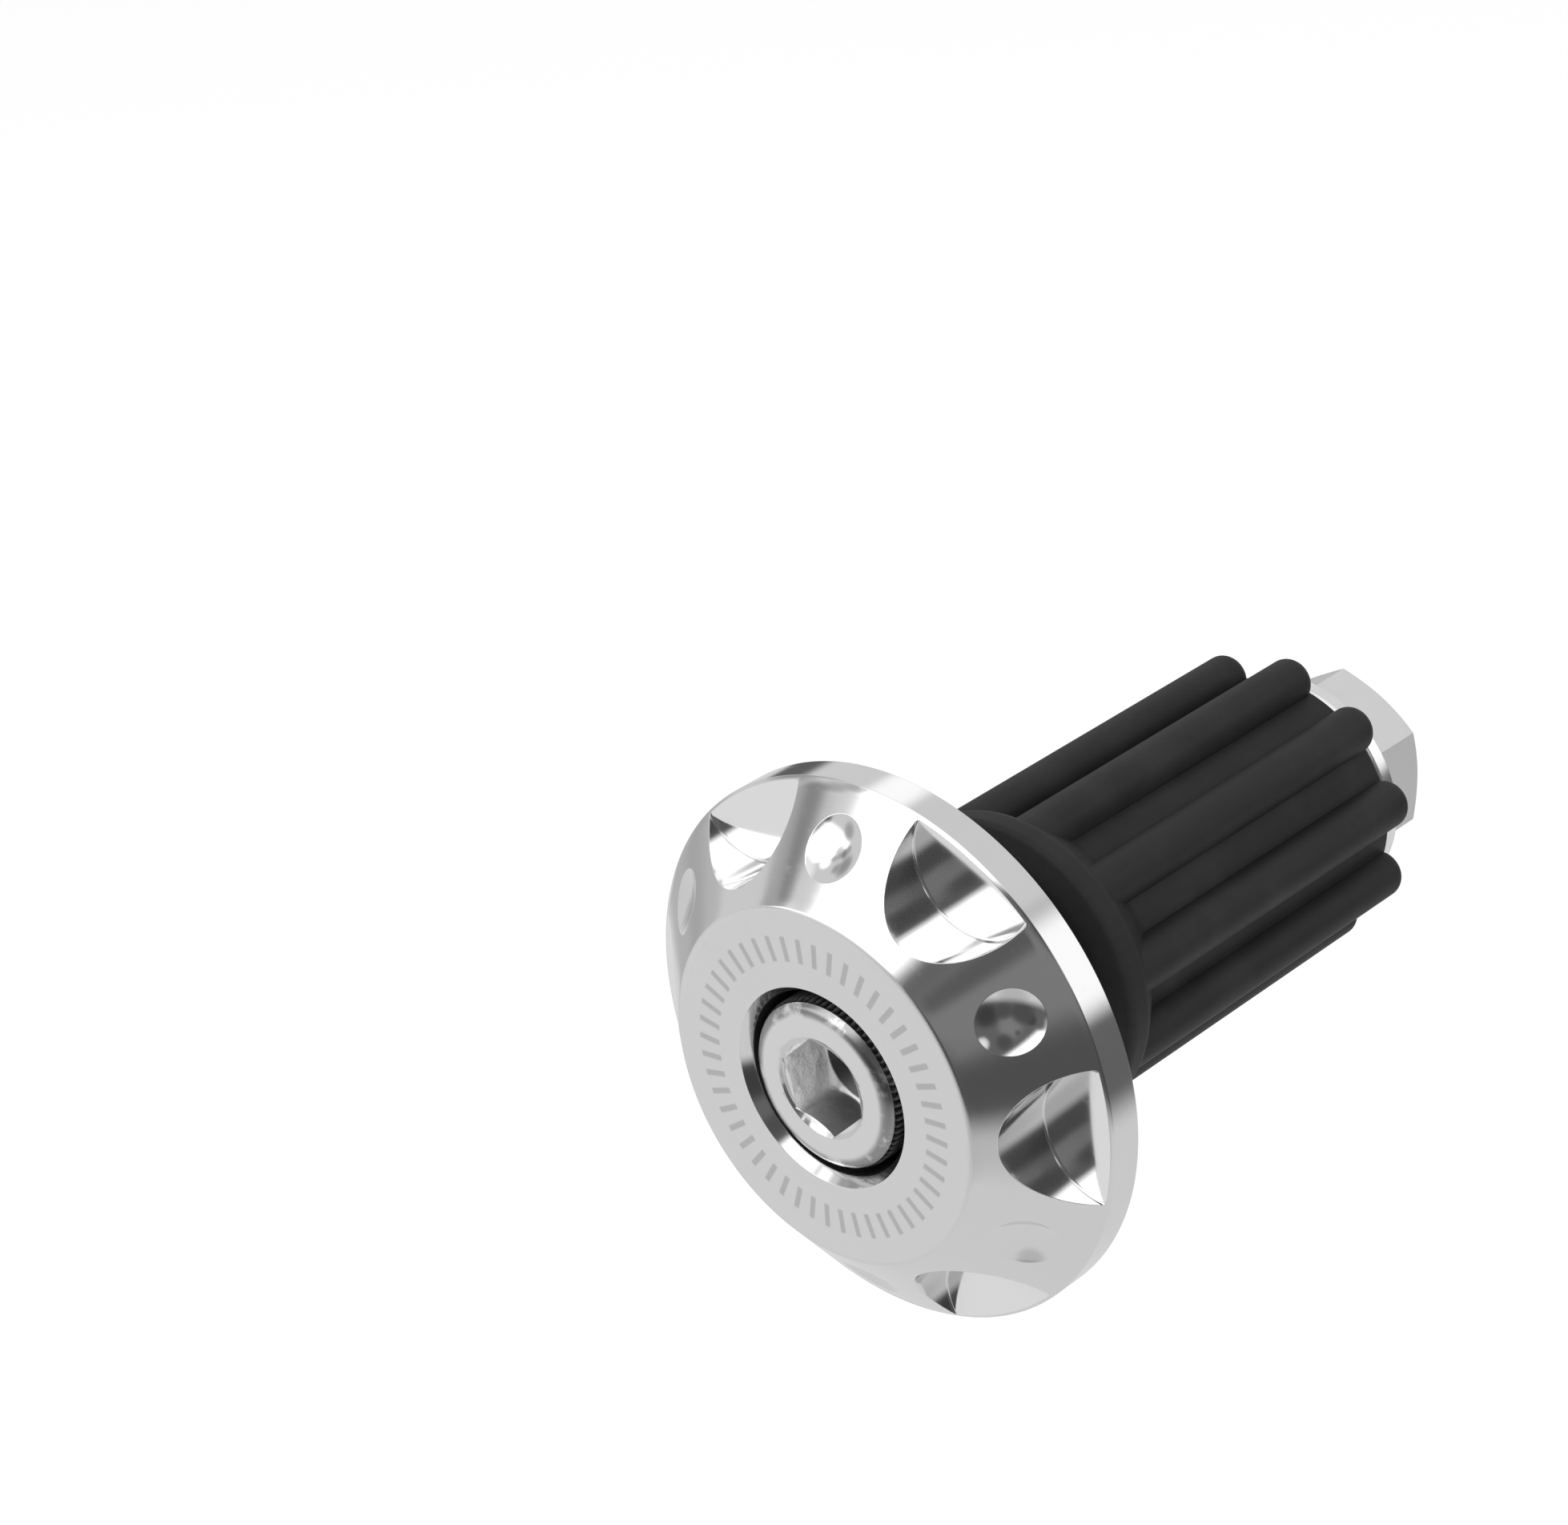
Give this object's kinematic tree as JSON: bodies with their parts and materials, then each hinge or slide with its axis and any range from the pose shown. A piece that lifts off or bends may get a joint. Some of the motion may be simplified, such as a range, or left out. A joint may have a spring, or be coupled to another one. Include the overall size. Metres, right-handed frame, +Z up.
{
  "type": "bar end weight",
  "caption": "Turned alloy bar end weight with a scalloped conical head, a ribbed rubber sleeve that grips inside the handlebar, and a socket screw, washer and nut that draw it tight.",
  "frame": {"origin": "on the common axis, in the plane of the head's shoulder, where the end of the handlebar tube butts", "axes": "+Y along the axis into the handlebar, so the front face looks along -Y; +Z up as in the picture"},
  "size_m": [0.032, 0.0479, 0.032],
  "materials": {
    "aluminium": "polished, with a satin front face",
    "screw_steel": "bright zinc plating",
    "rubber": "matt moulded black",
    "washer_steel": "bright zinc plating",
    "nut_steel": "dull zinc plating"
  },
  "bodies": {
    "weight": {"head": "aluminium", "sleeve": "rubber"},
    "screw": {"screw": "screw_steel"},
    "nut": {"nut": "nut_steel", "washer": "washer_steel"}
  },
  "joints": [
    {"name": "screw_turn", "type": "hinge", "parent": "weight", "child": "screw", "pos_m": [0, 0, 0], "axis": [0, 1, 0], "range_deg": [0, 1080]},
    {"name": "nut_travel", "type": "slide", "parent": "weight", "child": "nut", "axis": [0, -1, 0], "range_m": [0, 0.003], "deforming": ["sleeve"]}
  ],
  "couplings": [
    {"joint": "nut_travel", "follows": "screw_turn", "m_per_rad": 0.00015915}
  ]
}
